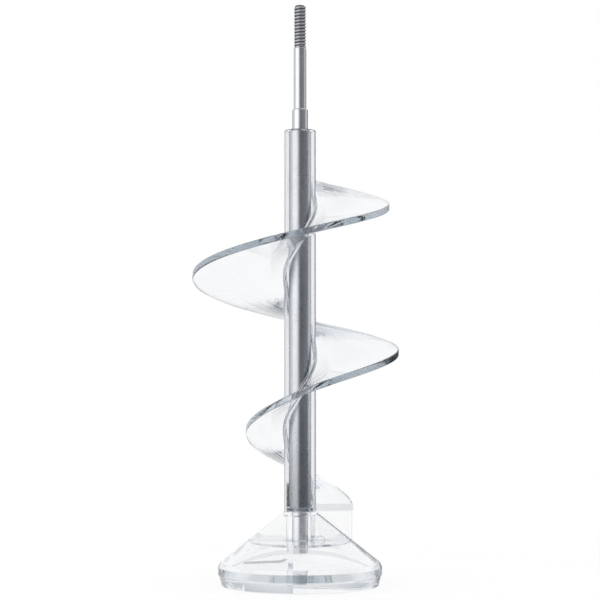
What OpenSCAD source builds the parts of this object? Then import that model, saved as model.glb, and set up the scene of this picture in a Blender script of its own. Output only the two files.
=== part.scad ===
// Vertical screw conveyor auger: a stepped steel shaft, a clear moulded screw whose
// flight follows a hopper from its neck to its bowl, and a clear hollow foot.
// Millimetres, +Z up, origin on the shaft's axis in the plane that the foot stands on.

/* [Shaft] */
// Height of the shaft's threaded end above the floor
shaft_top_z = 294; // [285:1:310]
// Outer diameter of the threaded end
thread_d = 6; // [5:0.5:6]
// Length of the threaded end
thread_len = 22; // [12:1:26]
// Diameter of the plain neck below the thread
neck_d = 6.4; // [6.2:0.1:7]
// Diameter of the upper and lower journals
journal_d = 8; // [7.4:0.2:9]
// Length of the upper journal that stands out of the screw
journal_len = 10.6; // [6:0.2:16]
// Diameter of the body inside the screw's tube
body_d = 11.2; // [10:0.2:12]
// Height of the shaft's lower end
shaft_bottom_z = 12; // [11:0.5:14]

/* [Screw] */
// Outer diameter of the screw's tube
tube_d = 16; // [15:0.5:17]
// Thickness of the tube's wall, which stands clear of the shaft
tube_wall = 1.1; // [1:0.1:1.6]
// Height of the tube's open upper end
tube_top_z = 229.6; // [225:0.2:232]
// Lead of the flight, its rise in one turn, at its lower end
lead_low = 81; // [78:1:84]
// Lead of the flight at its upper end
lead_high = 73.5; // [70:0.5:77]
// Angle that the flight turns through
flight_turn = 800; // [780:10:810]
// Angle over which the flight levels off before its upper end
level_turn = 35; // [5:5:45]
// Thickness of the flight
flight_t = 3.4; // [2.6:0.2:4]
// Radius of the hollow where the flight meets the tube
root_fillet = 2; // [1.2:0.2:3]

/* [Hopper outline that the rim follows] */
// Rim radius in the hopper's neck
neck_rim_r = 27.4; // [25:0.2:30]
// Rim radius where the cone meets the bowl
cone_rim_r = 52.2; // [46:0.2:53]
// Largest rim radius, in the bowl
bowl_rim_r = 54.8; // [53.4:0.2:58]
// Rim radius at the flight's upper end
top_rim_r = 40.5; // [36:0.5:46]

/* [Foot] */
// Radius of the foot's flange
flange_r = 41.2; // [40:0.2:44]
// Radius of the flat deck that carries the hub
deck_r = 26.4; // [24:0.2:28]
// Height of the deck's upper face
deck_z = 22.2; // [20:0.2:24]
// Thickness of the deck and of the sloping wall
wall = 3; // [2.4:0.2:3.4]
// Height of the hub's shoulder, which carries the tube
hub_z = 36.8; // [35:0.2:38.4]
// Outer diameter of the hub
hub_d = 17; // [16:0.5:18]
// Thickness of the fins, the web and the vanes
rib_t = 2.6; // [2:0.2:3]

/* [Hidden] */
$fn = 96;

// Radial gap between the shaft and the collar's bore, and between the pilot and the tube
bore_gap = 0.05;
// Small chamfers on the shaft's ends and steps
end_chamfer = 0.8;
step_chamfer = 0.7;
body_chamfer = 1.3;
// The hub's pilot stands up inside the tube, around the shaft, and carries its shoulder
pilot_h = 2;
pilot_z = hub_z + pilot_h;
journal_top_z = tube_top_z + 0.6 + journal_len;
body_top_z = tube_top_z + 0.6;

tube_r = tube_d / 2;
bore_r = tube_r - tube_wall;
// The flight's root is sunk into the tube's wall as far as this radius
root_r = (bore_r + tube_r) / 2;
rim_ease = 0.5;
// The root's hollow is cut level at the tube's foot, so that it clears the hub
root_cut_r = tube_r + 2 * root_fillet;
root_cut_h = 2 * root_fillet;
// The flight ends with its lower face level with the hub's shoulder
flight_low_z = hub_z + flight_t / 2;
// The lower end stands a little behind the right-hand side, clear of the fin there
flight_low_a = 10;
flight_top_a = flight_low_a + flight_turn;
flight_step = 5;
flight_steps = ceil(flight_turn / flight_step);
flight_top_z = flight_z(flight_top_a);
// Heights of the hopper's neck, cone and bowl
cone_low_z = 94.4;
cone_high_z = 117.8;
bowl_z = 159.2;
hopper = [
    [0, neck_rim_r],
    [cone_low_z, neck_rim_r],
    [cone_high_z, cone_rim_r],
    [bowl_z, bowl_rim_r],
    [flight_top_z, top_rim_r]
];
// The outline's corners are eased over this much height, and the upper corner of the
// flight's end is rounded in plan by this much
hopper_ease = [-4, -2, 0, 2, 4];
top_corner_r = 8;

// Foot outline below the sloping wall
skirt_foot_r = flange_r - 1.8;
skirt_top_r = flange_r - 0.6;
skirt_z = 4.8;
flange_low_z = 5.4;
flange_high_z = 9.2;
slope_foot_r = flange_r - 1.1;
slope_foot_z = 11.4;
skirt_in_r = flange_r - 3.2;
slope_in_r = flange_r - 2.8;
slope_in_z = 5;
deck_in_r = deck_r - 2.4;
// The hub is hollow from below, up to the collar that holds the shaft
hub_in_r = 5.8;
collar_z = 35;
// Fins run from the hub's shoulder down to the deck's edge
fin_drop = 0.6;
sink = 1;
// Arched drain notch at the foot of the right-hand fin
notch_r = 2;
notch_x = 10.4;
// The web under the flight's end stands at the flight's own end angle
web_r = neck_rim_r - 0.4;
// Vanes below the deck
vane_len = 28.4;
vane_h = 9;
vane_offset = 4.6;
vane_root = 6.5;
vane_fillet = 4;

function sum(v, i = 0) = i < len(v) ? v[i] + sum(v, i + 1) : 0;

// Rim radius at a height, the hopper's outline with its corners eased
function hopper_r(z) = sum([for (dz = hopper_ease) lookup(z + dz, hopper)]) / len(hopper_ease);

// How far the rim draws in as it rounds the corner at the upper end
function corner_cut(a) =
    let (left = top_corner_r - hopper_r(flight_top_z) * (flight_top_a - a) * PI / 180)
    left > 0 ? top_corner_r - sqrt(top_corner_r ^ 2 - min(left, top_corner_r) ^ 2) : 0;

// Height of the flight's middle at an angle: its lead changes evenly on the way up,
// and its last few degrees level off
function flight_z(a) =
    let (
        turned = (a - flight_low_a) / 360,
        levelling = max(0, a - flight_top_a + level_turn) / 360
    )
    flight_low_z
        + lead_low * turned
        - (lead_low - lead_high) / 2 * turned ^ 2 * 360 / flight_turn
        - lead_high / 2 * levelling ^ 2 * 360 / level_turn;
function rim_r(a) = hopper_r(flight_z(a)) - corner_cut(a);

// Half of the flight's section, from the sunken root to the eased rim, as radius and
// distance from the middle of its thickness
function half_section(r) = [
    [root_r, flight_t / 2 + root_fillet],
    [tube_r + 0.3 * root_fillet, flight_t / 2 + 0.3 * root_fillet],
    [tube_r + root_fillet, flight_t / 2],
    [r - rim_ease, flight_t / 2],
    [r, flight_t / 2 - rim_ease]
];

// The section at one angle: its lower half outwards, then its upper half outwards
function section_points(a) = [
    for (side = [-1, 1])
        for (p = half_section(rim_r(a)))
            [p[0] * cos(a), p[0] * sin(a), flight_z(a) + side * p[1]]
];

module flight() {
    half = 5;
    ring = 2 * half;
    angles = [for (i = [0:flight_steps]) flight_low_a + flight_turn * i / flight_steps];
    // The loop of point numbers around one section, anticlockwise as radius and height
    loop = concat([for (i = [0:half - 1]) i], [for (i = [half - 1:-1:0]) half + i]);
    skin = [
        for (s = [0:flight_steps - 1])
            for (i = [0:ring - 1])
                let (
                    p = s * ring + loop[i],
                    q = s * ring + loop[(i + 1) % ring],
                    up = ring
                )
                each [[p, q + up, p + up], [p, q, q + up]]
    ];
    lower_cap = [for (i = [0:half - 2]) each [[i, half + i + 1, i + 1], [i, half + i, half + i + 1]]];
    last = flight_steps * ring;
    upper_cap = [for (t = lower_cap) [t[2] + last, t[1] + last, t[0] + last]];
    polyhedron(
        points = [for (a = angles) each section_points(a)],
        faces = concat(skin, lower_cap, upper_cap),
        convexity = 8
    );
}

// The shaft's half outline is turned about its axis
module drive_shaft() {
    color("silver")
    rotate_extrude()
    polygon([
        [0, shaft_bottom_z],
        [journal_d / 2 - end_chamfer, shaft_bottom_z],
        [journal_d / 2, shaft_bottom_z + end_chamfer],
        [journal_d / 2, pilot_z],
        [body_d / 2, pilot_z],
        [body_d / 2, body_top_z - body_chamfer],
        [body_d / 2 - body_chamfer, body_top_z],
        [journal_d / 2, body_top_z],
        [journal_d / 2, journal_top_z - step_chamfer],
        [journal_d / 2 - step_chamfer, journal_top_z],
        [neck_d / 2, journal_top_z],
        [neck_d / 2, shaft_top_z - thread_len],
        [thread_d / 2, shaft_top_z - thread_len],
        [thread_d / 2, shaft_top_z - end_chamfer],
        [thread_d / 2 - end_chamfer, shaft_top_z],
        [0, shaft_top_z]
    ]);
}

module auger_screw() {
    color([0.86, 0.92, 0.96, 0.45])
    difference() {
        union() {
            translate([0, 0, hub_z]) cylinder(r = tube_r, h = tube_top_z - hub_z);
            flight();
        }
        translate([0, 0, hub_z - sink]) cylinder(r = bore_r, h = tube_top_z - hub_z + 2 * sink);
        translate([0, 0, hub_z - root_cut_h]) cylinder(r = root_cut_r, h = root_cut_h);
    }
}

// Deck, sloping wall, flange and skirt, open underneath
module foot_shell() {
    rotate_extrude()
    polygon([
        [0, deck_z],
        [deck_r, deck_z],
        [slope_foot_r, slope_foot_z],
        [flange_r, flange_high_z],
        [flange_r, flange_low_z],
        [skirt_top_r, skirt_z],
        [skirt_foot_r, 0],
        [skirt_in_r, 0],
        [slope_in_r, slope_in_z],
        [deck_in_r, deck_z - wall],
        [0, deck_z - wall]
    ]);
}

// A plate standing in the plane of X and Z, from its outline
module upright_plate(outline) {
    translate([0, rib_t / 2, 0])
    rotate([90, 0, 0])
    linear_extrude(rib_t)
    polygon(outline);
}

// Fin on the right-hand side, from the hub down to the deck's edge
module fin() {
    upright_plate([
        [0, deck_z - sink],
        [deck_r - sink, deck_z - sink],
        [deck_r, deck_z],
        [hub_d / 2, hub_z - fin_drop],
        [0, hub_z - fin_drop]
    ]);
}

// Upright web between the deck and the flight's lower end
module web() {
    rotate([0, 0, flight_low_a])
    translate([0, rib_t / 2, 0])
    upright_plate([
        [0, deck_z - sink],
        [web_r, deck_z - sink],
        [web_r, hub_z],
        [0, hub_z]
    ]);
}

// Vane below the deck, running out to the left of the shaft, its upper edge curving up to
// the deck
module vane() {
    inner_x = rib_t / 2 - vane_offset;
    turn_x = -vane_root - vane_fillet;
    arc = [for (a = [270:15:360])
        [turn_x + vane_fillet * cos(a), vane_h + vane_fillet + vane_fillet * sin(a)]];
    translate([0, -vane_offset, 0])
    upright_plate(concat(
        [[inner_x, 0], [-vane_len, 0], [-vane_len, vane_h]],
        arc,
        [[-vane_root, deck_z - sink], [inner_x, deck_z - sink]]
    ));
}

module foot() {
    color([0.84, 0.9, 0.95, 0.45])
    difference() {
        union() {
            foot_shell();
            translate([0, 0, deck_z - sink]) cylinder(d = hub_d, h = hub_z - deck_z + sink);
            translate([0, 0, deck_z]) cylinder(r = bore_r - 2 * bore_gap, h = pilot_z - deck_z);
            fin();
            mirror([1, 0, 0]) fin();
            web();
            vane();
            mirror([1, -1, 0]) vane();
        }
        translate([0, 0, collar_z - sink])
            cylinder(r = journal_d / 2 + bore_gap, h = pilot_z - collar_z + 2 * sink);
        translate([0, 0, deck_z - wall - sink])
            cylinder(r = hub_in_r, h = collar_z - deck_z + wall + sink);
        translate([notch_x, rib_t, deck_z])
            rotate([90, 0, 0])
            cylinder(r = notch_r, h = 2 * rib_t, $fn = 48);
    }
}

drive_shaft();
auger_screw();
foot();
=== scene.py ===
"""Looks of a vertical screw conveyor auger: a turned steel shaft, a clear moulded screw and a
clear moulded foot."""

import math

import bmesh
import bpy
from mathutils import Matrix, Vector


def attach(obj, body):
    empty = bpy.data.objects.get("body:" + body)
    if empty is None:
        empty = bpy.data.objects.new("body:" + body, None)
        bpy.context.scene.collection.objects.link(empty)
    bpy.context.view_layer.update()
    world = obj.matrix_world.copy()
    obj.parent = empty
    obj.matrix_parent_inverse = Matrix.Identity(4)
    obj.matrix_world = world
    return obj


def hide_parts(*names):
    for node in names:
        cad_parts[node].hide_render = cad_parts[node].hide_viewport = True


MM = 0.001

# Shaft, in millimetres, as everything below
SHAFT_TOP_Z = 294.0
SHAFT_BOTTOM_Z = 12.0
THREAD_R = 3.0
THREAD_ROOT_R = 2.6
THREAD_LEN = 22.0
THREAD_PITCH = 1.7
THREAD_CLEAR = 0.05
THREAD_LEAD_IN = 0.3
NECK_R = 3.2
JOURNAL_R = 4.0
JOURNAL_LEN = 10.6
BODY_R = 5.6
BODY_PROUD = 0.6
BODY_FOOT_CHAMFER = 0.2
END_CHAMFER = 0.8
STEP_CHAMFER = 0.7
BODY_CHAMFER = 1.3

# Screw
TUBE_R = 8.0
BORE_R = 6.9
TUBE_TOP_Z = 229.6
FLIGHT_T = 3.4
ROOT_FILLET = 2.0
LEAD_LOW = 81.0
LEAD_HIGH = 73.5
FLIGHT_TURN = 800.0
LEVEL_TURN = 35.0
FLIGHT_LOW_A = 10.0
FLIGHT_TOP_A = FLIGHT_LOW_A + FLIGHT_TURN
RIM_ROUND = 0.6
TOP_CORNER_R = 8.0
EDGE_EASE = 0.3
LEAST_FILLET = 0.02

# Hopper outline that the rim follows
NECK_RIM_R = 27.4
CONE_RIM_R = 52.2
BOWL_RIM_R = 54.8
TOP_RIM_R = 40.5
CONE_LOW_Z = 94.4
CONE_HIGH_Z = 117.8
BOWL_Z = 159.2
HOPPER_EASE = 4.0

# Foot
HUB_Z = 36.8
HUB_R = 8.5
PILOT_R = 6.8
PILOT_Z = 38.8
DECK_R = 26.4
DECK_Z = 22.2
WALL = 3.0
DECK_IN_R = DECK_R - 2.4
FLANGE_R = 41.2
FLANGE_HIGH_Z = 9.2
FLANGE_LOW_Z = 5.4
SHOULDER_R = FLANGE_R - 1.1
SHOULDER_Z = 11.4
SKIRT_HIGH_R = FLANGE_R - 0.6
SKIRT_HIGH_Z = 4.8
SKIRT_LOW_R = FLANGE_R - 1.8
SKIRT_IN_R = FLANGE_R - 3.2
SLOPE_IN_R = FLANGE_R - 2.8
SLOPE_IN_Z = 5
HUB_IN_R = 5.8
COLLAR_Z = 35.0
RIB_T = 2.6
FIN_DROP = 0.6
NOTCH_R = 2.0
NOTCH_X = 10.4
WEB_R = 27.0
VANE_LEN = 28.4
VANE_H = 9.0
VANE_OFFSET = 4.6
VANE_ROOT = 6.5
VANE_FILLET = 4.0
BORE_GAP = 0.05
SEAT_GAP = 0.05
PLATE_EASE = 0.3
BOLD_EASE = 1.1
HUB_EASE = 0.25
HOLLOW_EASE = 0.6
# How far what is joined or cut reaches past the face that it meets
SINK = 1
# Keeps faces that are cut or joined from lying in one plane, which leaves stray faces
COPLANAR_SHIFT = 0.013
# Points closer than this are one, in metres
WELD = 2e-6

# Fineness of what is turned or swept: a step in degrees, then counts
TURN_STEP = 1.25
RING_SEGMENTS = 192
BARREL_SEGMENTS = 96
SHAFT_SEGMENTS = 128
THREAD_ROWS_A_TURN = 20
CORNER_STEPS = 4
FILLET_STEPS = 8
ARCH_STEPS = 12
# Edges that turn by more than this stay sharp, in degrees
SHAFT_CREASE = 28
FOOT_CREASE = 24
# Light is followed this far through the clear plastic, which turns it back many times
LIGHT_BOUNCES = 32
# The shaft's second material, on its thread: painted shade in the thread's roots
THREAD_ROOT_SHADE_SLOT = 1
# The screw's second material, on the outside of its tube: painted shade where the tube is seen
# edge on
TUBE_EDGE_SHADE_SLOT = 1
# Its third, on the cut end of the flight
CUT_FINISH = 2
# The foot's second material: painted shade on rounded edges, standing in for the dark of the
# room that they show
EDGE_SHADE_SLOT = 1
# Its third: painted shade around the flange's upright rim
RIM_SHADE_SLOT = 2
# How clear plastic is tinted face on, and darkened with painted shade towards edge on, as
# (Layer Weight's facing, colour)
PLATE_TINT_AND_EDGE_SHADE = [
    (0.0, (0.985, 0.99, 0.995)),
    (0.6, (0.96, 0.97, 0.98)),
    (0.9, (0.93, 0.94, 0.955)),
    (1.0, (0.6, 0.65, 0.7)),
]
# The tube's tint, with strong painted shade towards edge on
TUBE_TINT_AND_EDGE_SHADE = [
    (0.4, (0.985, 0.985, 0.99)),
    (0.52, (0.84, 0.85, 0.88)),
    (0.62, (0.34, 0.37, 0.42)),
    (0.75, (0.12, 0.14, 0.18)),
]
# Painted shade for the foot's rounded edges
EDGE_PAINTED_SHADE = [
    (0.0, (0.5, 0.53, 0.58)),
    (1.0, (0.2, 0.22, 0.26)),
]
# Painted shade for the flange's rim, darkest face on
RIM_PAINTED_SHADE = [
    (0.0, (0.76, 0.8, 0.84)),
    (0.5, (0.82, 0.85, 0.88)),
    (0.9, (0.95, 0.96, 0.97)),
]
# The foot's tint, with light painted shade edge on
FOOT_TINT_AND_EDGE_SHADE = [
    (0.0, (0.99, 0.992, 0.995)),
    (0.8, (0.975, 0.98, 0.985)),
    (1.0, (0.78, 0.82, 0.86)),
]
# What clear plastic does to light inside it, and to light that passes unseen
INNER_TINT = (0.14, 0.26, 0.36, 1)
PASSING_TINT = (0.985, 0.988, 0.99, 1)
SCREW_DENSITY = 10.0
FOOT_DENSITY = 4.0
MOULDED_ROUGHNESS = (0.012, 0.05)
CUT_ROUGHNESS = (0.4, 0.5)
CUT_CLEARNESS = 0.2
STEEL_ROUGHNESS = (0.22, 0.32)
STEEL_TINT = [
    (0.3, (0.74, 0.75, 0.77)),
    (0.7, (0.83, 0.84, 0.86)),
]
STEEL_EDGE = (0.35, 0.36, 0.39, 1)
# Painted shade in the thread's roots
THREAD_ROOT_SHADE = (0.13, 0.135, 0.145)

# Colours of the studio
WHITE = (1.0, 1.0, 1.0)
SOFT_BOX = (1.34, 1.34, 1.34)
ROOM_DARK = (0.14, 0.145, 0.16)
ROOM_GREY = (0.2, 0.205, 0.22)
LEFT_GREY = (0.72, 0.73, 0.75)
CEILING = (0.8, 0.8, 0.8)
STRIP_DARK = (0.16, 0.165, 0.18)
INNER_HAZE = (0.8, 0.85, 0.9)
SLATE = (0.22, 0.27, 0.33)
# Where each part of the studio fades in, as (none yet, all there). X, Y and Z say how far a
# ray looks to the right, to the back and up
ROOM_Y = (-0.95, -0.6)
BOX_X = (0.04, -0.64)
BEHIND_Y = (-0.3, 0.5)
LEFT_X = (-0.6, -0.9)
LEFT_Y = (-0.4, 0.15)
CEILING_Z = (0.55, 0.8)
STRIP_NEAR_X = (0.0, 0.15)
STRIP_FAR_X = (0.98, 0.8)
STRIP_Y = (0.3, 0.6)
STRIP_Z = (0.36, 0.26)
SLATE_Z = (0.35, 0.75)
FRONT_Y = (0.1, -0.3)
HORIZON_Z = (0.0, -0.03)
# How far the horizon lies lower at the front, and for what is reflected off the outside
FRONT_DROP = 0.16
OUTSIDE_DROP = 0.4
# Light that has passed more clear walls than this takes on the haze, by this share
HAZE_WALLS = 4.5
HAZE_SHARE = 0.6

# Camera, lamp and floor, in metres and degrees
CAMERA_AT = (0, -0.841, 0.0984)
CAMERA_TILT = 3.053
LAMP_AT = (-0.7, -0.5, 1.1)
LAMP_AIM = (0, 0, 0.1)
LAMP_SIZE = 0.9
FLOOR_R = 0.9
FLOOR_DROP = 0.0001


def cylindrical(r, degrees, z):
    a = math.radians(degrees)
    return Vector((r * math.cos(a), r * math.sin(a), z))


def lookup(x, table):
    """Straight-line interpolation in a list of (x, y) pairs, held level beyond its ends."""
    if x <= table[0][0]:
        return table[0][1]
    for (x0, y0), (x1, y1) in zip(table, table[1:]):
        if x <= x1:
            return y0 + (y1 - y0) * (x - x0) / (x1 - x0)
    return table[-1][1]


class Patches:
    """Faces with a normal stated at every point, so that curved walls shade smoothly."""

    def __init__(self):
        self.points, self.normals, self.faces, self.finishes = [], [], [], []

    def add(self, samples):
        first = len(self.points)
        for point, normal in samples:
            self.points.append(point * MM)
            self.normals.append(normal.normalized())
        return list(range(first, len(self.points)))

    def skin(self, columns, finish=0):
        """Quads between columns of (point, normal), which go round anticlockwise from above."""
        rows = [self.add(c) for c in columns]
        for a, b in zip(rows, rows[1:]):
            for j in range(len(a) - 1):
                self.faces.append((a[j], b[j], b[j + 1], a[j + 1]))
                self.finishes.append(finish)

    def face(self, samples, finish=0):
        self.faces.append(self.add(samples))
        self.finishes.append(finish)

    def cap(self, points, normal, finish=0):
        self.face([(p, normal) for p in points], finish)

    def strip(self, left, right, finish=0):
        """One face between two upright columns that are split at different heights."""
        self.face([left[0], *right, *reversed(left[1:])], finish)

    def mesh(self, name):
        mesh = bpy.data.meshes.new(name)
        mesh.from_pydata(self.points, [], self.faces)
        mesh.polygons.foreach_set("use_smooth", [True] * len(mesh.polygons))
        mesh.polygons.foreach_set("material_index", self.finishes)
        mesh.normals_split_custom_set_from_vertices(self.normals)
        mesh.update()
        return mesh


def link(name, mesh):
    obj = bpy.data.objects.new(name, mesh)
    bpy.context.scene.collection.objects.link(obj)
    return obj


# ---------------------------------------------------------------- screw


def flight_z(a):
    """Middle height of the flight at an angle. Its lead shrinks steadily, and its end levels
    out."""
    turned = (a - FLIGHT_LOW_A) / 360
    levelling = max(0.0, a - FLIGHT_TOP_A + LEVEL_TURN) / 360
    return (
        HUB_Z
        + FLIGHT_T / 2
        + LEAD_LOW * turned
        - (LEAD_LOW - LEAD_HIGH) / 2 * turned**2 * 360 / FLIGHT_TURN
        - LEAD_HIGH / 2 * levelling**2 * 360 / LEVEL_TURN
    )


# The outline as (height, radius)
HOPPER = [
    (0.0, NECK_RIM_R),
    (CONE_LOW_Z, NECK_RIM_R),
    (CONE_HIGH_Z, CONE_RIM_R),
    (BOWL_Z, BOWL_RIM_R),
    (flight_z(FLIGHT_TOP_A), TOP_RIM_R),
]


def rim_r(a):
    """Rim radius at an angle of the flight: the hopper's outline, with the top end's corner
    rounded off."""
    steps = 8
    z = flight_z(a)
    eased = [lookup(z + HOPPER_EASE * (2 * i / steps - 1), HOPPER) for i in range(steps + 1)]
    into_corner = TOP_CORNER_R - TOP_RIM_R * math.radians(FLIGHT_TOP_A - a)
    cut = 0.0
    if into_corner > 0:
        cut = TOP_CORNER_R - math.sqrt(TOP_CORNER_R**2 - min(into_corner, TOP_CORNER_R) ** 2)
    return sum(eased) / len(eased) - cut


def arc(cx, cz, r, start, end, steps):
    """Points of an arc and the way that the path runs there, as (radius, height, radial part,
    upward part)."""
    out = []
    turn = 1 if end > start else -1
    for i in range(steps + 1):
        a = math.radians(start + (end - start) * i / steps)
        across, up = math.cos(a), math.sin(a)
        out.append((cx + r * across, cz + r * up, -turn * up, turn * across))
    return out


def flight_section(a):
    """The flight's outline at an angle, from its lower root out around the rim to its upper
    root, as (radius, height, radial part, upward part of the path's direction)."""
    z, rim, half = flight_z(a), rim_r(a), FLIGHT_T / 2
    spans, fillet_steps, round_steps = 6, 7, 5
    low_fillet = max(LEAST_FILLET, min(ROOT_FILLET, z - half - HUB_Z - SEAT_GAP))
    inner, outer = TUBE_R + low_fillet, rim - RIM_ROUND
    path = arc(inner, -half - low_fillet, low_fillet, 180, 90, fillet_steps)
    path += [(inner + (outer - inner) * i / spans, -half, 1, 0) for i in range(1, spans)]
    path += arc(outer, -half + RIM_ROUND, RIM_ROUND, -90, 0, round_steps)
    path += arc(outer, half - RIM_ROUND, RIM_ROUND, 0, 90, round_steps)
    inner = TUBE_R + ROOT_FILLET
    path += [(outer + (inner - outer) * i / spans, half, -1, 0) for i in range(1, spans)]
    path += arc(inner, half + ROOT_FILLET, ROOT_FILLET, -90, -180, fillet_steps)
    return [(r, z + dz, pr, pz) for r, dz, pr, pz in path]


def flight_column(a):
    """Points and normals of the flight's outline at an angle."""
    nudge = 0.05
    before, here, after = (flight_section(b) for b in (a - nudge, a, a + nudge))
    column = []
    for p, q, s in zip(before, here, after):
        along = cylindrical(s[0], a + nudge, s[1]) - cylindrical(p[0], a - nudge, p[1])
        path = cylindrical(q[2], a, q[3])
        column.append((cylindrical(q[0], a, q[1]), along.cross(path)))
    return column


def wall_column(a, z_from, z_to):
    """An upright line of the tube's outer wall."""
    steps = 4
    return [
        (cylindrical(TUBE_R, a, z_from + (z_to - z_from) * i / steps), cylindrical(1, a, 0))
        for i in range(steps + 1)
    ]


def tube_outside(made, angles, low_root, top_root):
    """The tube's outer wall: below the first turn, between turns, and above the last turn.
    Where the flight ends, one strip joins the wall on its two sides."""
    count = len(angles) - 1
    turn = round(360 / TURN_STEP)
    below = [wall_column(angles[i], HUB_Z + SEAT_GAP, low_root[i]) for i in range(turn)]
    between = [
        wall_column(angles[i], top_root[i], low_root[i + turn]) for i in range(count - turn + 1)
    ]
    above = [
        wall_column(angles[i], top_root[i], TUBE_TOP_Z - EDGE_EASE)
        for i in range(count - turn + 1, count + 1)
    ]
    # The outer wall takes the material with painted edge shade
    for wall in (below, between, above):
        made.skin(wall, TUBE_EDGE_SHADE_SLOT)
    made.strip(below[-1], below[0] + between[0], TUBE_EDGE_SHADE_SLOT)
    made.strip(between[-1] + above[-1], above[0], TUBE_EDGE_SHADE_SLOT)


def tube_inside(made):
    """The tube's lip, its bore, and the ring that it stands on."""
    bottom, top, edge = HUB_Z + SEAT_GAP, TUBE_TOP_Z, EDGE_EASE
    slant = math.sqrt(0.5)
    sweep = [TURN_STEP * i for i in range(round(360 / TURN_STEP) + 1)]
    # Each band is two (radius, height) points, its normal's (outward, upward) parts, and the
    # angle where it starts
    bands = (
        ([(TUBE_R, top - edge), (TUBE_R - edge, top)], (slant, slant), FLIGHT_TOP_A - 360),
        ([(TUBE_R - edge, top), (BORE_R + edge, top)], (0, 1), FLIGHT_TOP_A - 360),
        ([(BORE_R + edge, top), (BORE_R, top - edge)], (-slant, slant), FLIGHT_TOP_A - 360),
        ([(BORE_R, top - edge), (BORE_R, bottom)], (-1, 0), FLIGHT_TOP_A - 360),
        ([(BORE_R, bottom), (TUBE_R, bottom)], (0, -1), FLIGHT_LOW_A),
    )
    for points, (out, up), start in bands:
        columns = []
        for a in (start + step for step in sweep):
            normal = cylindrical(out, a, up)
            columns.append([(cylindrical(r, a, z), normal) for r, z in points])
        made.skin(columns)


def build_screw():
    count = round(FLIGHT_TURN / TURN_STEP)
    angles = [FLIGHT_LOW_A + TURN_STEP * i for i in range(count + 1)]
    columns = [flight_column(a) for a in angles]
    low_root = [column[0][0].z for column in columns]
    top_root = [column[-1][0].z for column in columns]
    made = Patches()
    made.skin(columns)
    made.cap([p for p, n in columns[0]], -cylindrical(1, FLIGHT_LOW_A + 90, 0), CUT_FINISH)
    made.cap([p for p, n in reversed(columns[-1])], cylindrical(1, FLIGHT_TOP_A + 90, 0))
    tube_outside(made, angles, low_root, top_root)
    tube_inside(made)
    return link("screw_clear", made.mesh("screw_clear"))


# ---------------------------------------------------------------- shaft


def thread_radius(z, degrees):
    """Radius of the right-hand thread: crests and rounded roots, fading at the end's chamfer
    and into the neck."""
    root_width, flank_width = 0.07, 0.34
    phase = (z / THREAD_PITCH - degrees / 360) % 1.0
    flank = 0.5 - abs(phase - 0.5)
    height = min(1.0, max(0.0, (flank - root_width) / flank_width))
    r = THREAD_ROOT_R + (THREAD_R - THREAD_ROOT_R) * height
    r = min(r, THREAD_R - END_CHAMFER + (SHAFT_TOP_Z - z))
    run_out = (z - (SHAFT_TOP_Z - THREAD_LEN)) / THREAD_PITCH
    if run_out < 1:
        plain = THREAD_R - THREAD_CLEAR
        r = plain - (plain - r) * max(0.0, run_out)
    return r


def shaft_rows():
    """The shaft's outline from its lower end to the thread's start, as (radius, height)."""
    body_top = TUBE_TOP_Z + BODY_PROUD
    journal_top = body_top + JOURNAL_LEN
    thread_z = SHAFT_TOP_Z - THREAD_LEN
    return [
        (JOURNAL_R - END_CHAMFER, SHAFT_BOTTOM_Z),
        (JOURNAL_R, SHAFT_BOTTOM_Z + END_CHAMFER),
        (JOURNAL_R, PILOT_Z),
        (BODY_R - BODY_FOOT_CHAMFER, PILOT_Z),
        (BODY_R, PILOT_Z + BODY_FOOT_CHAMFER),
        (BODY_R, body_top - BODY_CHAMFER),
        (BODY_R - BODY_CHAMFER, body_top),
        (JOURNAL_R, body_top),
        (JOURNAL_R, journal_top - STEP_CHAMFER),
        (JOURNAL_R - STEP_CHAMFER, journal_top),
        (NECK_R, journal_top),
        (NECK_R, thread_z - THREAD_LEAD_IN),
        (THREAD_R - THREAD_CLEAR, thread_z),
    ]


def build_shaft():
    rows = shaft_rows()
    segments = SHAFT_SEGMENTS
    sweep = [360 * k / segments for k in range(segments)]
    points = []
    for r, z in rows:
        points += [cylindrical(r, a, z) * MM for a in sweep]
    thread_rows = int(THREAD_LEN / THREAD_PITCH * THREAD_ROWS_A_TURN)
    for i in range(1, thread_rows + 1):
        z = SHAFT_TOP_Z - THREAD_LEN + THREAD_LEN * i / thread_rows
        points += [cylindrical(thread_radius(z, a), a, z) * MM for a in sweep]
    last_row = len(rows) + thread_rows - 1
    faces = []
    for first in range(0, last_row * segments, segments):
        for k in range(segments):
            low, low_next = first + k, first + (k + 1) % segments
            faces.append((low, low_next, low_next + segments, low + segments))
    walls = len(faces)
    faces.append(tuple(reversed(range(segments))))
    faces.append(tuple(last_row * segments + k for k in range(segments)))
    mesh = bpy.data.meshes.new("shaft_steel")
    mesh.from_pydata(points, [], faces)
    # The thread takes the material with painted shade in its roots
    for place in range((len(rows) - 1) * segments, walls):
        mesh.polygons[place].material_index = THREAD_ROOT_SHADE_SLOT
    mesh.shade_smooth()
    mesh.set_sharp_from_angle(angle=math.radians(SHAFT_CREASE))
    return link("shaft_steel", mesh)


# ---------------------------------------------------------------- foot


def revolved(profile, segments=RING_SEGMENTS):
    """A solid turned about Z from a closed outline of (radius, height), anticlockwise."""
    points, rings = [], []
    for r, z in profile:
        if r == 0:
            rings.append([len(points)])
            points.append((0, 0, z * MM))
        else:
            rings.append(list(range(len(points), len(points) + segments)))
            points += [cylindrical(r, 360 * k / segments, z) * MM for k in range(segments)]
    faces = []
    for a, b in zip(rings, rings[1:] + rings[:1]):
        for k in range(segments):
            m = (k + 1) % segments
            corners = [a[k % len(a)], a[m % len(a)], b[m % len(b)], b[k % len(b)]]
            corners = list(dict.fromkeys(corners))
            if len(corners) > 2:
                faces.append(corners)
    mesh = bpy.data.meshes.new("turned")
    mesh.from_pydata(points, [], faces)
    return link("turned", mesh)


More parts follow.
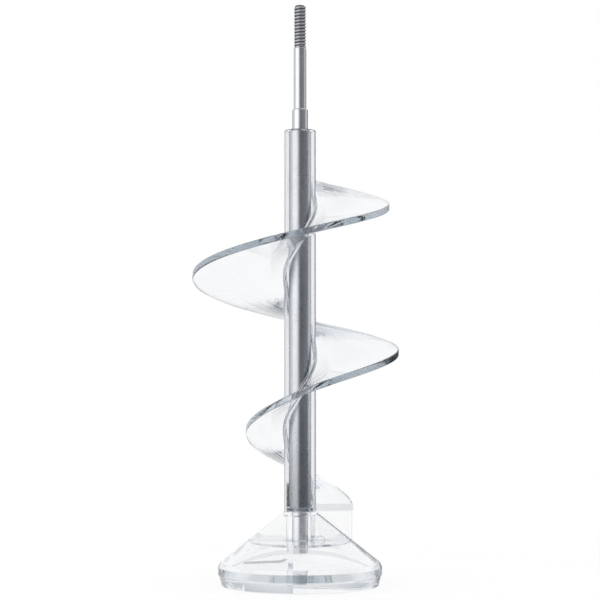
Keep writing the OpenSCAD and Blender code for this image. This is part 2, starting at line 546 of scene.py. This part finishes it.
def plate(outline, ease, shaded_edge=None):
    """An upright plate in the plane of X and Z, RIB_T thick, with its edges rounded. The last
    argument, when given, is the place in the outline where the edge starts that is darkened
    with painted shade, which stands in for the dark of the room."""
    half, broad_side = RIB_T / 2, 0.99
    count = len(outline)
    points = [(x * MM, y * MM, z * MM) for y in (-half, half) for x, z in outline]
    faces = [tuple(range(count)), tuple(reversed(range(count, 2 * count)))]
    for k in range(count):
        m = (k + 1) % count
        faces.append((m, k, count + k, count + m))
    mesh = bpy.data.meshes.new("plate")
    mesh.from_pydata(points, [], faces)
    obj = link("plate", mesh)
    rounding = obj.modifiers.new("rounding", "BEVEL")
    rounding.width, rounding.segments = ease * MM, CORNER_STEPS
    rounding.limit_method = "ANGLE"
    apply_modifiers(obj)
    # Painted shade on the faces along that edge
    if shaded_edge is not None:
        start, end = Vector(outline[shaded_edge]), Vector(outline[shaded_edge + 1])
        across = (end - start).normalized().orthogonal()
        for polygon in obj.data.polygons:
            centre = Vector((polygon.center.x, polygon.center.z)) / MM
            near_edge = abs(across.dot(centre - start)) < ease
            if near_edge and abs(polygon.normal.y) < broad_side:
                polygon.material_index = EDGE_SHADE_SLOT
    return obj


def apply_modifiers(obj):
    bpy.context.view_layer.update()
    shaped = obj.evaluated_get(bpy.context.evaluated_depsgraph_get())
    obj.data = bpy.data.meshes.new_from_object(shaped)
    obj.modifiers.clear()


def eased_corners(outline):
    """The closed outline of (radius, height, ease), with every corner rounded by its own ease,
    or by less where its sides are short."""
    out = []
    count, steps, side_share = len(outline), CORNER_STEPS, 0.45
    for k, (x, z, ease) in enumerate(outline):
        if not ease:
            out.append((x, z))
            continue
        here = Vector((x, z))
        back = Vector(outline[k - 1][:2]) - here
        on = Vector(outline[(k + 1) % count][:2]) - here
        reach = ease / math.tan(back.angle(on) / 2)
        reach = min(reach, side_share * back.length, side_share * on.length)
        p, q = here + back.normalized() * reach, here + on.normalized() * reach
        for i in range(steps + 1):
            t = i / steps
            point = (1 - t) ** 2 * p + 2 * t * (1 - t) * here + t**2 * q
            out.append((point.x, point.y))
    return out


def shell_outline():
    """The foot's shell in section: the deck's underside, the slope and skirt inside, then the
    skirt, flange, shoulder and deck outside. Each point is (radius, height, ease)."""
    return eased_corners(
        [
            (0, DECK_Z - WALL, 0),
            (DECK_IN_R, DECK_Z - WALL, 0.8),
            (SLOPE_IN_R, SLOPE_IN_Z, 0.7),
            (SKIRT_IN_R, 0, 0.4),
            (SKIRT_LOW_R, 0, 0.4),
            (SKIRT_HIGH_R, SKIRT_HIGH_Z, 0.4),
            (FLANGE_R, FLANGE_LOW_Z, 0.4),
            (FLANGE_R, FLANGE_HIGH_Z, 0.7),
            (SHOULDER_R, SHOULDER_Z, 0.7),
            (DECK_R, DECK_Z, 0.2),
            (0, DECK_Z, 0),
        ]
    )


def barrel(r, low, high, ease=0.0):
    """An upright cylinder with a chamfer around its top."""
    chamfer = [(r, high - ease), (r - ease, high)] if ease else [(r, high)]
    return revolved([(0, low), (r, low), *chamfer, (0, high)], BARREL_SEGMENTS)


def fin(notched):
    """A fin from the hub down to the deck's edge. The one on the right is notched: it arches
    over a drain."""
    low = DECK_Z - SINK
    outline = [(0, low)]
    if notched:
        outline.append((NOTCH_X - NOTCH_R, low))
        for i in range(ARCH_STEPS + 1):
            a = math.pi * (1 - i / ARCH_STEPS)
            outline.append((NOTCH_X + NOTCH_R * math.cos(a), DECK_Z + NOTCH_R * math.sin(a)))
        outline.append((NOTCH_X + NOTCH_R, low))
    outline.append((DECK_R - SINK, low))
    slope = len(outline)
    outline += [(DECK_R, DECK_Z), (HUB_R, HUB_Z - FIN_DROP), (0, HUB_Z - FIN_DROP)]
    if notched:
        # Its sloping edge gets painted shade
        return plate(outline, BOLD_EASE, slope)
    obj = plate(outline, PLATE_EASE)
    obj.rotation_euler.z = math.pi
    return obj


def web():
    """The upright plate just below the flight's lower end."""
    low, high = DECK_Z - SINK, HUB_Z - SEAT_GAP - COPLANAR_SHIFT
    obj = plate([(0, low), (WEB_R, low), (WEB_R, high), (0, high)], PLATE_EASE)
    turn = Matrix.Rotation(math.radians(FLIGHT_LOW_A), 4, "Z")
    obj.matrix_world = turn @ Matrix.Translation((0, RIB_T / 2 * MM, 0))
    return obj


def vane(turned):
    """A vane below the deck, from the shaft outwards, its upper edge curving up to the deck.
    There are two, a quarter turn apart."""
    high = DECK_Z - SINK
    inner_x = RIB_T / 2 - VANE_OFFSET - SEAT_GAP
    turn_x, turn_z = -VANE_ROOT - VANE_FILLET, VANE_H + VANE_FILLET
    outline = [(inner_x, 0), (inner_x, high), (-VANE_ROOT, high)]
    for i in range(FILLET_STEPS + 1):
        a = math.radians(360 - 90 * i / FILLET_STEPS)
        outline.append((turn_x + VANE_FILLET * math.cos(a), turn_z + VANE_FILLET * math.sin(a)))
    upper_edge = len(outline) - 1
    outline += [(-VANE_LEN, VANE_H), (-VANE_LEN, 0)]
    if turned:
        obj = plate(outline, PLATE_EASE)
        obj.location = Vector((-VANE_OFFSET, 0, COPLANAR_SHIFT)) * MM
        obj.rotation_euler.z = math.radians(90)
    else:
        # Its upper edge gets painted shade
        obj = plate(outline, BOLD_EASE, upper_edge)
        obj.location.y = -VANE_OFFSET * MM
    return obj


def weld(mesh):
    """Joins vertices that lie on one another, and drops the slivers between them."""
    work = bmesh.new()
    work.from_mesh(mesh)
    bmesh.ops.remove_doubles(work, verts=work.verts, dist=WELD)
    bmesh.ops.dissolve_degenerate(work, edges=work.edges, dist=WELD)
    work.to_mesh(mesh)
    work.free()


def combined(name, base, added, cuts):
    """One watertight solid: base with others added and cuts taken away."""
    # A slot for each finish, so that the added pieces' finishes carry over
    for _ in range(RIM_SHADE_SLOT + 1):
        base.data.materials.append(None)
    for operation, tools in (("UNION", added), ("DIFFERENCE", cuts)):
        for tool in tools:
            step = base.modifiers.new(operation, "BOOLEAN")
            step.operation, step.solver, step.object = operation, "EXACT", tool
    apply_modifiers(base)
    for obj in [*added, *cuts]:
        bpy.data.objects.remove(obj)
    weld(base.data)
    base.name = base.data.name = name
    base.data.shade_smooth()
    base.data.set_sharp_from_angle(angle=math.radians(FOOT_CREASE))
    return base


def mark_painted_shade(foot):
    """Gives the flange's upright rim and the notch's rounded edge materials of their own, which
    darken them with painted shade.
    """
    rim_reach, upright, broad_side = 0.1, 0.1, 0.9
    for polygon in foot.data.polygons:
        centre, normal = polygon.center / MM, polygon.normal
        from_notch = math.hypot(centre.x - NOTCH_X, centre.z - DECK_Z)
        in_fin = abs(centre.y) < RIB_T / 2 and abs(normal.y) < broad_side
        # Painted shade on the flange's upright rim, and on the notch's rounded edge
        if centre.xy.length > FLANGE_R - rim_reach and abs(normal.z) < upright:
            polygon.material_index = RIM_SHADE_SLOT
        elif from_notch < NOTCH_R + BOLD_EASE and in_fin:
            polygon.material_index = EDGE_SHADE_SLOT


def build_foot():
    notch = barrel(NOTCH_R - SEAT_GAP, -RIB_T, RIB_T)
    notch_at = Vector((NOTCH_X, 0, DECK_Z + COPLANAR_SHIFT)) * MM
    notch.matrix_world = Matrix.Translation(notch_at) @ Matrix.Rotation(math.pi / 2, 4, "X")
    bore = barrel(JOURNAL_R + BORE_GAP, COLLAR_Z - SINK, PILOT_Z + SINK)
    hollow = barrel(HUB_IN_R, DECK_Z - WALL - SINK, COLLAR_Z, HOLLOW_EASE)
    added = [
        barrel(HUB_R, DECK_Z - SINK, HUB_Z - SEAT_GAP, HUB_EASE),
        barrel(PILOT_R, DECK_Z, PILOT_Z - SEAT_GAP, HUB_EASE),
        fin(notched=True),
        fin(notched=False),
        web(),
        vane(turned=False),
        vane(turned=True),
    ]
    foot = combined("foot_clear", revolved(shell_outline()), added, [bore, hollow, notch])
    mark_painted_shade(foot)
    return foot


# ---------------------------------------------------------------- materials


class Nodes:
    """Short helpers around one node tree."""

    def __init__(self, tree):
        self.tree = tree
        tree.nodes.clear()

    def add(self, kind, inputs=None, **settings):
        node = self.tree.nodes.new(kind)
        for name, value in settings.items():
            setattr(node, name, value)
        for name, value in (inputs or {}).items():
            if isinstance(value, bpy.types.NodeSocket):
                self.tree.links.new(value, node.inputs[name])
            else:
                node.inputs[name].default_value = value
        return node

    def ramp(self, factor, stops):
        node = self.add("ShaderNodeValToRGB", {"Fac": factor})
        elements = node.color_ramp.elements
        while len(elements) < len(stops):
            elements.new(0.5)
        for element, (place, colour) in zip(elements, stops):
            element.position = place
            element.color = (*colour, 1)
        return node.outputs["Color"]

    def ease_step(self, value, low, high):
        """0 below low and 1 above high, smooth between. low may be the larger of the two."""
        return self.add(
            "ShaderNodeMapRange",
            {"Value": value, "From Min": low, "From Max": high},
            interpolation_type="SMOOTHSTEP",
        ).outputs["Result"]

    def maths(self, operation, *values):
        inputs = dict(enumerate(values))
        return self.add("ShaderNodeMath", inputs, operation=operation).outputs["Value"]

    def length(self, vector):
        node = self.add("ShaderNodeVectorMath", {0: vector}, operation="LENGTH")
        return node.outputs["Value"]

    def spread(self, value, given, wanted):
        """Carries a value from one (low, high) range to another."""
        inputs = {"Value": value, "From Min": given[0], "From Max": given[1]}
        inputs.update({"To Min": wanted[0], "To Max": wanted[1]})
        return self.add("ShaderNodeMapRange", inputs).outputs["Result"]

    def noise(self, vector, scale, detail):
        inputs = {"Vector": vector, "Scale": scale, "Detail": detail}
        return self.add("ShaderNodeTexNoise", inputs).outputs["Fac"]

    def bump(self, height, strength, distance):
        inputs = {"Height": height, "Strength": strength, "Distance": distance}
        return self.add("ShaderNodeBump", inputs).outputs["Normal"]

    def blend(self, factor, first, second):
        """A colour between two, each a socket or (red, green, blue)."""
        node = self.add("ShaderNodeMix", {"Factor": factor}, data_type="RGBA")
        first_colour, second_colour = node.inputs[6], node.inputs[7]
        for socket, value in ((first_colour, first), (second_colour, second)):
            if isinstance(value, bpy.types.NodeSocket):
                self.tree.links.new(value, socket)
            else:
                socket.default_value = (*value, 1)
        mixed_colour = node.outputs[2]
        return mixed_colour


def clear_plastic(
    name,
    tint_and_edge_shade_stops=PLATE_TINT_AND_EDGE_SHADE,
    density=SCREW_DENSITY,
    roughness=MOULDED_ROUGHNESS,
    clearness=1.0,
):
    """Clear moulded plastic with a slight tint, darkened with painted shade the more edge on it
    is seen, and tinted by how far light goes in it."""
    material = bpy.data.materials.new(name)
    material.use_nodes = True
    n = Nodes(material.node_tree)
    place = n.add("ShaderNodeTexCoord").outputs["Object"]
    facing = n.add("ShaderNodeLayerWeight", {"Blend": 0.5}).outputs["Facing"]
    # Painted shade: the tint darkens the more edge on the plastic is seen
    tint_and_edge_shade = n.ramp(facing, tint_and_edge_shade_stops)
    smears = n.noise(place, scale=60.0, detail=3.0)
    flow = n.noise(place, scale=120.0, detail=2.0)
    surface = n.add(
        "ShaderNodeBsdfPrincipled",
        {
            "Base Color": tint_and_edge_shade,
            "Roughness": n.spread(smears, (0.35, 0.75), roughness),
            "Normal": n.bump(flow, strength=0.05, distance=0.0006),
            "IOR": 1.5,
            "Transmission Weight": clearness,
        },
    )
    depth = n.add("ShaderNodeVolumeAbsorption", {"Color": INNER_TINT, "Density": density})
    # Light on its way to the lamp or from a matt surface passes straight through
    rays = n.add("ShaderNodeLightPath").outputs
    unseen = n.maths("MAXIMUM", rays["Is Shadow Ray"], rays["Is Diffuse Ray"])
    passing = n.add("ShaderNodeBsdfTransparent", {"Color": PASSING_TINT})
    mixed = n.add(
        "ShaderNodeMixShader",
        {"Fac": unseen, 1: surface.outputs["BSDF"], 2: passing.outputs["BSDF"]},
    )
    n.add(
        "ShaderNodeOutputMaterial",
        {"Surface": mixed.outputs["Shader"], "Volume": depth.outputs["Volume"]},
    )
    return material


def turned_steel(name, grooved=False):
    """Bright steel, turned on a lathe: fine rings around the shaft and faint handling marks.
    Where it is grooved, the thread's roots are darkened with painted shade."""
    material = bpy.data.materials.new(name)
    material.use_nodes = True
    n = Nodes(material.node_tree)
    place = n.add("ShaderNodeTexCoord").outputs["Object"]
    rings = n.add("ShaderNodeMapping", {"Vector": place, "Scale": (60.0, 60.0, 5200.0)})
    lathe = n.noise(rings.outputs["Vector"], scale=1.0, detail=4.0)
    marks = n.noise(place, scale=90.0, detail=5.0)
    colour = n.ramp(lathe, STEEL_TINT)
    if grooved:
        axes = n.add("ShaderNodeSeparateXYZ", {"Vector": place}).outputs
        flat = n.add("ShaderNodeCombineXYZ", {"X": axes["X"], "Y": axes["Y"]}).outputs["Vector"]
        # Painted shade: darkest in the roots, lighter on the crests
        shade_depth, crest_depth, crest_share = 0.25, 0.02, 0.6
        crest = n.ease_step(
            n.length(flat), (THREAD_R - shade_depth) * MM, (THREAD_R - crest_depth) * MM
        )
        colour = n.blend(n.maths("MULTIPLY", crest, crest_share), THREAD_ROOT_SHADE, colour)
    surface = n.add(
        "ShaderNodeBsdfPrincipled",
        {
            "Base Color": colour,
            "Roughness": n.spread(marks, (0.3, 0.75), STEEL_ROUGHNESS),
            "Normal": n.bump(lathe, strength=0.12, distance=0.00005),
            "Metallic": 1.0,
            "Specular Tint": STEEL_EDGE,
        },
    )
    n.add("ShaderNodeOutputMaterial", {"Surface": surface.outputs["BSDF"]})
    return material


# ---------------------------------------------------------------- studio


def build_floor():
    """A plain white floor around the object that fades into the backdrop's white."""
    bpy.ops.mesh.primitive_circle_add(
        vertices=BARREL_SEGMENTS, radius=FLOOR_R, fill_type="NGON", location=(0, 0, -FLOOR_DROP)
    )
    floor = bpy.context.object
    floor.name = "floor"
    material = bpy.data.materials.new("floor_white")
    material.use_nodes = True
    n = Nodes(material.node_tree)
    place = n.add("ShaderNodeTexCoord").outputs["Object"]
    fade = n.add(
        "ShaderNodeMapRange",
        {"Value": n.length(place), "From Min": 0.03, "From Max": 0.4, "To Min": 0.6},
        interpolation_type="SMOOTHSTEP",
    ).outputs["Result"]
    white = n.add("ShaderNodeBsdfDiffuse", {"Color": (0.97, 0.97, 0.97, 1)})
    through = n.add("ShaderNodeBsdfTransparent")
    mixed = n.add(
        "ShaderNodeMixShader",
        {"Fac": fade, 1: white.outputs["BSDF"], 2: through.outputs["BSDF"]},
    )
    n.add("ShaderNodeOutputMaterial", {"Surface": mixed.outputs["Shader"]})
    floor.data.materials.append(material)


def seen_in_gloss(n, x, y, z, depth):
    """The room as gloss sees it. x, y and z say how far a reflection looks to the right, to the
    back and up. depth counts the clear walls that the light has passed."""
    # A soft box fades in from the middle to the left of a grey room, with white behind
    room = n.blend(n.ease_step(y, *ROOM_Y), ROOM_DARK, ROOM_GREY)
    seen = n.blend(n.ease_step(x, *BOX_X), room, SOFT_BOX)
    seen = n.blend(n.ease_step(y, *BEHIND_Y), seen, WHITE)
    left = n.maths("MULTIPLY", n.ease_step(x, *LEFT_X), n.ease_step(y, *LEFT_Y))
    seen = n.blend(left, seen, LEFT_GREY)
    seen = n.blend(n.ease_step(z, *CEILING_Z), seen, CEILING)
    # A dark strip at the back on the right, seen only by what has passed no clear wall
    outside = n.maths("SUBTRACT", 1.0, n.maths("MINIMUM", depth, 1.0))
    across = n.maths("MULTIPLY", n.ease_step(x, *STRIP_NEAR_X), n.ease_step(x, *STRIP_FAR_X))
    behind = n.maths("MULTIPLY", n.ease_step(y, *STRIP_Y), outside)
    upright = n.ease_step(n.maths("ABSOLUTE", z), *STRIP_Z)
    strip = n.maths("MULTIPLY", n.maths("MULTIPLY", across, behind), upright)
    seen = n.blend(strip, seen, STRIP_DARK)
    # Light from deep inside the foot has lost the room's contrast
    deep = n.maths("GREATER_THAN", depth, HAZE_WALLS)
    seen = n.blend(n.maths("MULTIPLY", deep, HAZE_SHARE), seen, INNER_HAZE)
    # White below a horizon that lies lower towards the front, and lowest for the outside
    front = n.maths("MULTIPLY", n.ease_step(y, *FRONT_Y), FRONT_DROP)
    lowered = n.maths("MAXIMUM", front, n.maths("MULTIPLY", outside, OUTSIDE_DROP))
    below = n.ease_step(n.maths("ADD", lowered, z), *HORIZON_Z)
    return n.blend(below, seen, WHITE)


def build_world():
    """White studio: a soft box at the front left for gloss, and white behind what is clear."""
    world = bpy.data.worlds.new("studio")
    bpy.context.scene.world = world
    world.use_nodes = True
    n = Nodes(world.node_tree)
    way = n.add("ShaderNodeTexCoord").outputs["Generated"]
    axes = n.add("ShaderNodeSeparateXYZ", {"Vector": way}).outputs
    rays = n.add("ShaderNodeLightPath").outputs
    gloss = seen_in_gloss(n, axes["X"], axes["Y"], axes["Z"], rays["Transmission Depth"])
    # What shows through clear plastic: white all around and below, slate high up
    clear = n.blend(n.ease_step(axes["Z"], *SLATE_Z), WHITE, SLATE)
    mirrored = n.maths("MINIMUM", rays["Glossy Depth"], 1.0)
    scattered = n.maths("MINIMUM", rays["Diffuse Depth"], 1.0)
    seen = n.blend(rays["Is Transmission Ray"], WHITE, clear)
    seen = n.blend(mirrored, seen, gloss)
    seen = n.blend(scattered, seen, WHITE)
    seen = n.blend(rays["Is Camera Ray"], seen, WHITE)
    sky = n.add("ShaderNodeBackground", {"Color": seen, "Strength": 1.0})
    n.add("ShaderNodeOutputWorld", {"Surface": sky.outputs["Background"]})


def build_lamp():
    """A soft lamp at the upper left that neither gloss nor clear plastic shows."""
    light = bpy.data.lights.new("soft_box", "AREA")
    light.shape, light.size, light.size_y = "RECTANGLE", LAMP_SIZE, LAMP_SIZE
    light.energy = 1.2
    lamp = bpy.data.objects.new("soft_box", light)
    lamp.location = LAMP_AT
    aim = Vector(LAMP_AIM) - lamp.location
    lamp.rotation_euler = aim.to_track_quat("-Z", "Y").to_euler()
    lamp.visible_glossy = False
    lamp.visible_transmission = False
    bpy.context.scene.collection.objects.link(lamp)


def build_camera():
    """A long lens low in front of the object, tilted up a little."""
    data = bpy.data.cameras.new("camera")
    data.sensor_width, data.lens = 36.0, 99.67
    camera = bpy.data.objects.new("camera", data)
    camera.location = CAMERA_AT
    camera.rotation_euler = (math.radians(90 + CAMERA_TILT), 0, 0)
    bpy.context.scene.collection.objects.link(camera)
    bpy.context.scene.camera = camera


def dress(obj, materials, node):
    """Gives the object its materials, and has it stand for the frame's node."""
    for place, material in enumerate(materials):
        if place < len(obj.data.materials):
            obj.data.materials[place] = material
        else:
            obj.data.materials.append(material)
    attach(obj, "root")
    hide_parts(node)


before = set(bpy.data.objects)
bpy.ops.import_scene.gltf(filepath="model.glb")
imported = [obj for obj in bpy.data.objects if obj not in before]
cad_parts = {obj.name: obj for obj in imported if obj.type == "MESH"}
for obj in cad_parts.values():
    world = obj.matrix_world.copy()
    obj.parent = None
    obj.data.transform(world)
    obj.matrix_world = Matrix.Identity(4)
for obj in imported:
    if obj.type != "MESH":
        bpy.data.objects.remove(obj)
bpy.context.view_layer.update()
bpy.context.scene.view_settings.view_transform = "Standard"
light_paths = bpy.context.scene.cycles
light_paths.max_bounces = light_paths.glossy_bounces = LIGHT_BOUNCES
light_paths.transmission_bounces = light_paths.transparent_max_bounces = LIGHT_BOUNCES
build_world()
build_floor()
build_lamp()
build_camera()
steel_finishes = [turned_steel("turned_steel"), turned_steel("thread_steel_root_shade", grooved=True)]
dress(build_shaft(), steel_finishes, "drive_shaft")
screw_finishes = [
    clear_plastic("clear_screw"),
    clear_plastic("clear_tube_edge_shade", TUBE_TINT_AND_EDGE_SHADE),
    clear_plastic("cut_end", roughness=CUT_ROUGHNESS, clearness=CUT_CLEARNESS),
]
dress(build_screw(), screw_finishes, "auger_screw")
foot_finishes = [
    clear_plastic("clear_foot", FOOT_TINT_AND_EDGE_SHADE, FOOT_DENSITY),
    clear_plastic("clear_edge_painted_shade", EDGE_PAINTED_SHADE, FOOT_DENSITY),
    clear_plastic("clear_rim_painted_shade", RIM_PAINTED_SHADE, FOOT_DENSITY),
]
dress(build_foot(), foot_finishes, "foot")
